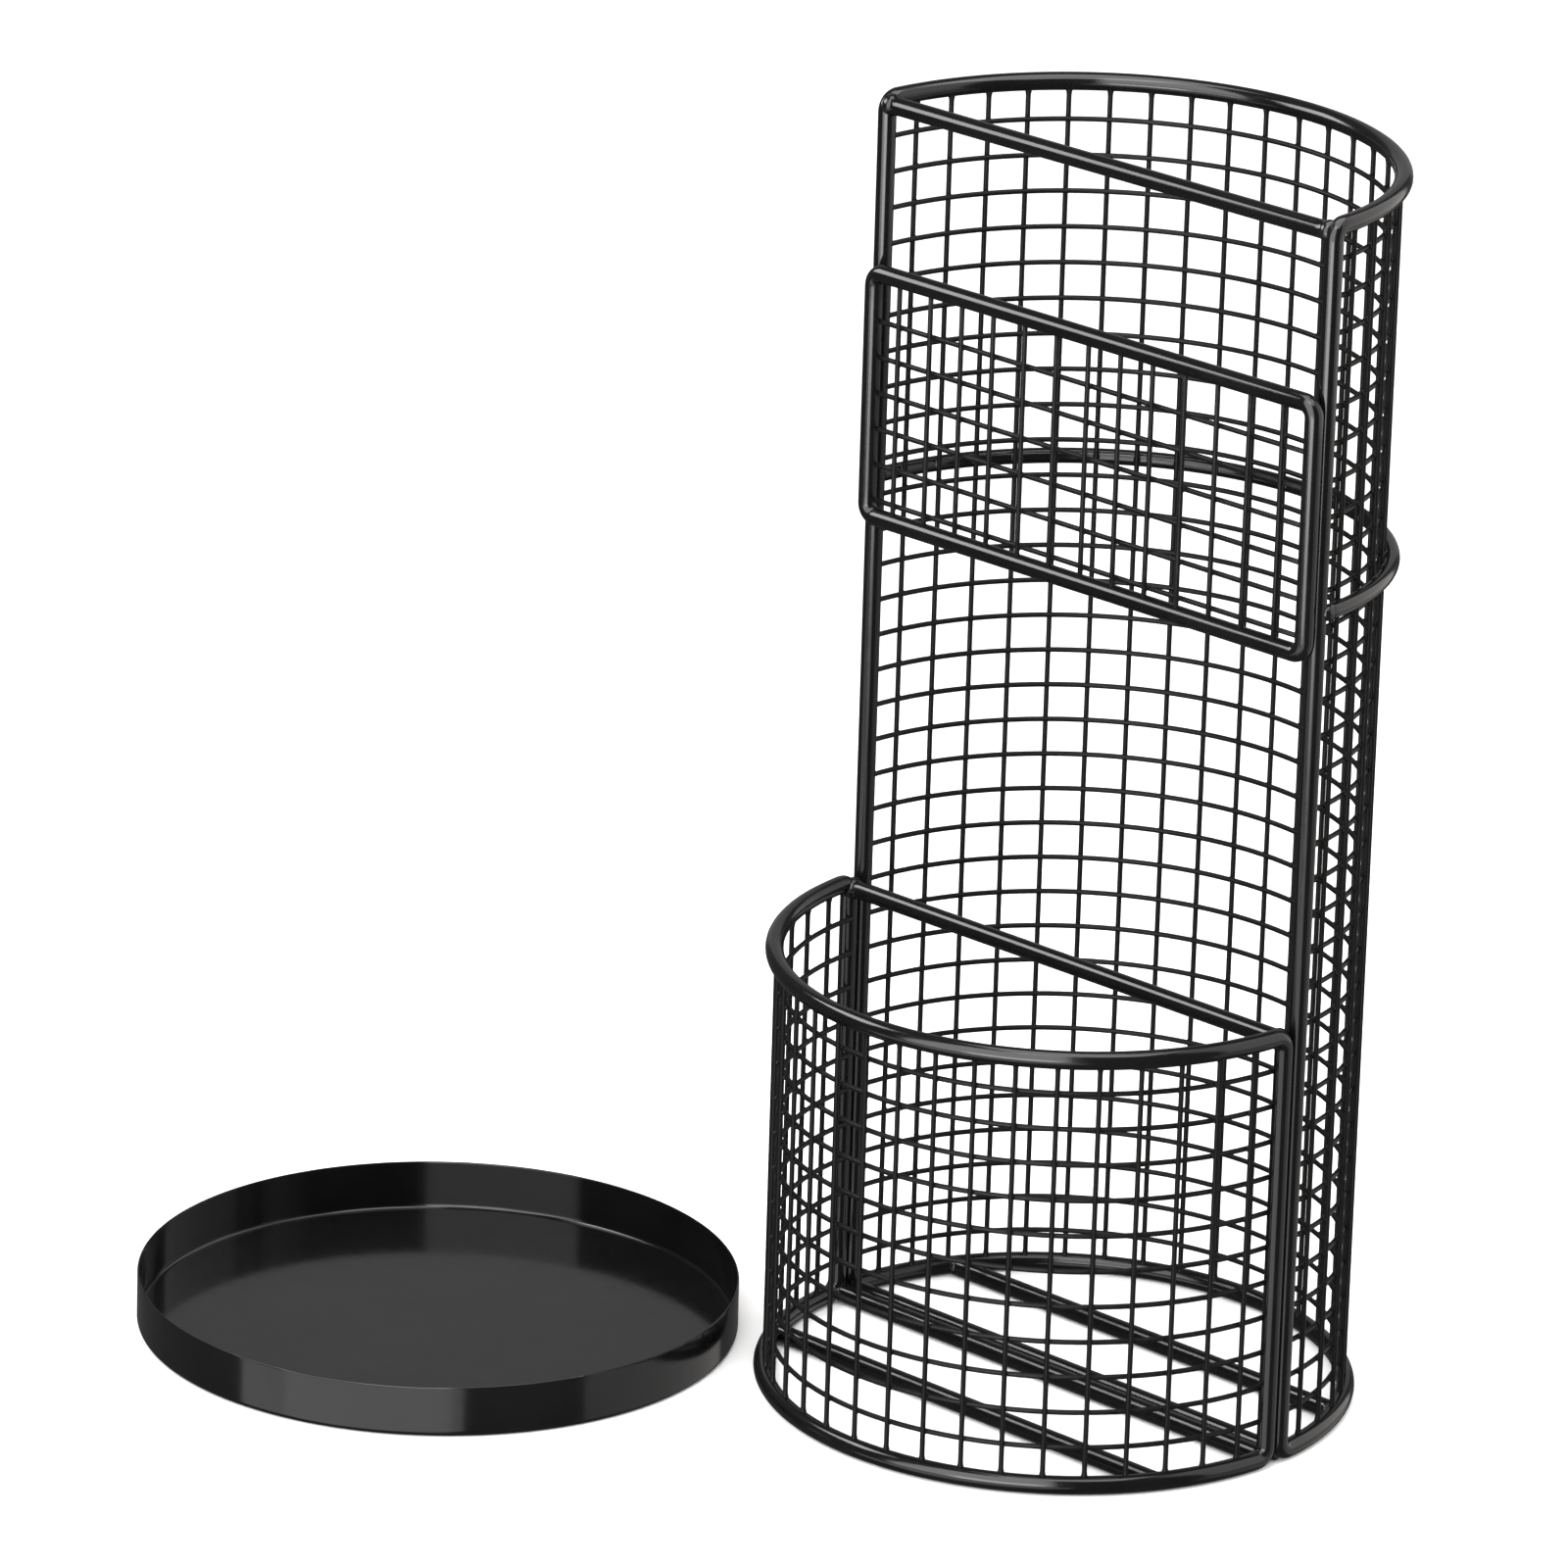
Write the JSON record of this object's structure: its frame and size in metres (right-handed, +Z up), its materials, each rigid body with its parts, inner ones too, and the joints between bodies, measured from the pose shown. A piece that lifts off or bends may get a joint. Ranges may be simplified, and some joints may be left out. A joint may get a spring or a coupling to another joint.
{
  "type": "umbrella stand",
  "caption": "Round wire-mesh umbrella stand: a tall and a low D-shaped cage back to back, a mesh panel across the tall cage's open side, and a loose round drip tray.",
  "frame": {"origin": "on the floor, under the middle of the box that holds the cages and the tray beside them", "axes": "+Z up; +Y from the low cage in front to the tall cage behind; +X to the right as seen from the front, along the flat sides of the cages"},
  "size_m": [0.43, 0.3644, 0.483],
  "materials": {
    "frame_coating": "black powder coat with a satin gloss on thick wire",
    "mesh_coating": "black powder coat on thin mesh wire",
    "tray_coating": "smooth black coating on sheet steel, glossier than the wire"
  },
  "bodies": {
    "cages": {"front_bottom_bar": "frame_coating", "front_floor_bar": "frame_coating", "front_frame_loop": "frame_coating", "front_mesh_hoops": "mesh_coating", "front_mesh_upright_02": "mesh_coating", "front_mesh_upright_03": "mesh_coating", "front_mesh_upright_04": "mesh_coating", "front_mesh_upright_05": "mesh_coating", "front_mesh_upright_06": "mesh_coating", "front_mesh_upright_07": "mesh_coating", "front_mesh_upright_08": "mesh_coating", "front_mesh_upright_09": "mesh_coating", "front_mesh_upright_10": "mesh_coating", "front_mesh_upright_11": "mesh_coating", "front_mesh_upright_12": "mesh_coating", "front_mesh_upright_13": "mesh_coating", "front_mesh_upright_14": "mesh_coating", "front_mesh_upright_15": "mesh_coating", "front_mesh_upright_16": "mesh_coating", "front_mesh_upright_17": "mesh_coating", "front_mesh_upright_18": "mesh_coating", "front_mesh_upright_19": "mesh_coating", "front_mesh_upright_20": "mesh_coating", "front_top_bar": "frame_coating", "middle_ring": "frame_coating", "panel_frame": "frame_coating", "panel_mesh": "mesh_coating", "rear_bottom_bar": "frame_coating", "rear_floor_bar": "frame_coating", "rear_frame_loop": "frame_coating", "rear_mesh_hoops": "mesh_coating", "rear_mesh_upright_02": "mesh_coating", "rear_mesh_upright_03": "mesh_coating", "rear_mesh_upright_04": "mesh_coating", "rear_mesh_upright_05": "mesh_coating", "rear_mesh_upright_06": "mesh_coating", "rear_mesh_upright_07": "mesh_coating", "rear_mesh_upright_08": "mesh_coating", "rear_mesh_upright_09": "mesh_coating", "rear_mesh_upright_10": "mesh_coating", "rear_mesh_upright_11": "mesh_coating", "rear_mesh_upright_12": "mesh_coating", "rear_mesh_upright_13": "mesh_coating", "rear_mesh_upright_14": "mesh_coating", "rear_mesh_upright_15": "mesh_coating", "rear_mesh_upright_16": "mesh_coating", "rear_mesh_upright_17": "mesh_coating", "rear_mesh_upright_18": "mesh_coating", "rear_mesh_upright_19": "mesh_coating", "rear_mesh_upright_20": "mesh_coating", "rear_top_bar": "frame_coating"},
    "tray": {"drip_tray": "tray_coating"}
  },
  "joints": [
    {"name": "tray_lift", "type": "slide", "parent": "cages", "child": "tray", "axis": [0, 0, 1], "range_m": [0, 0.2]}
  ]
}
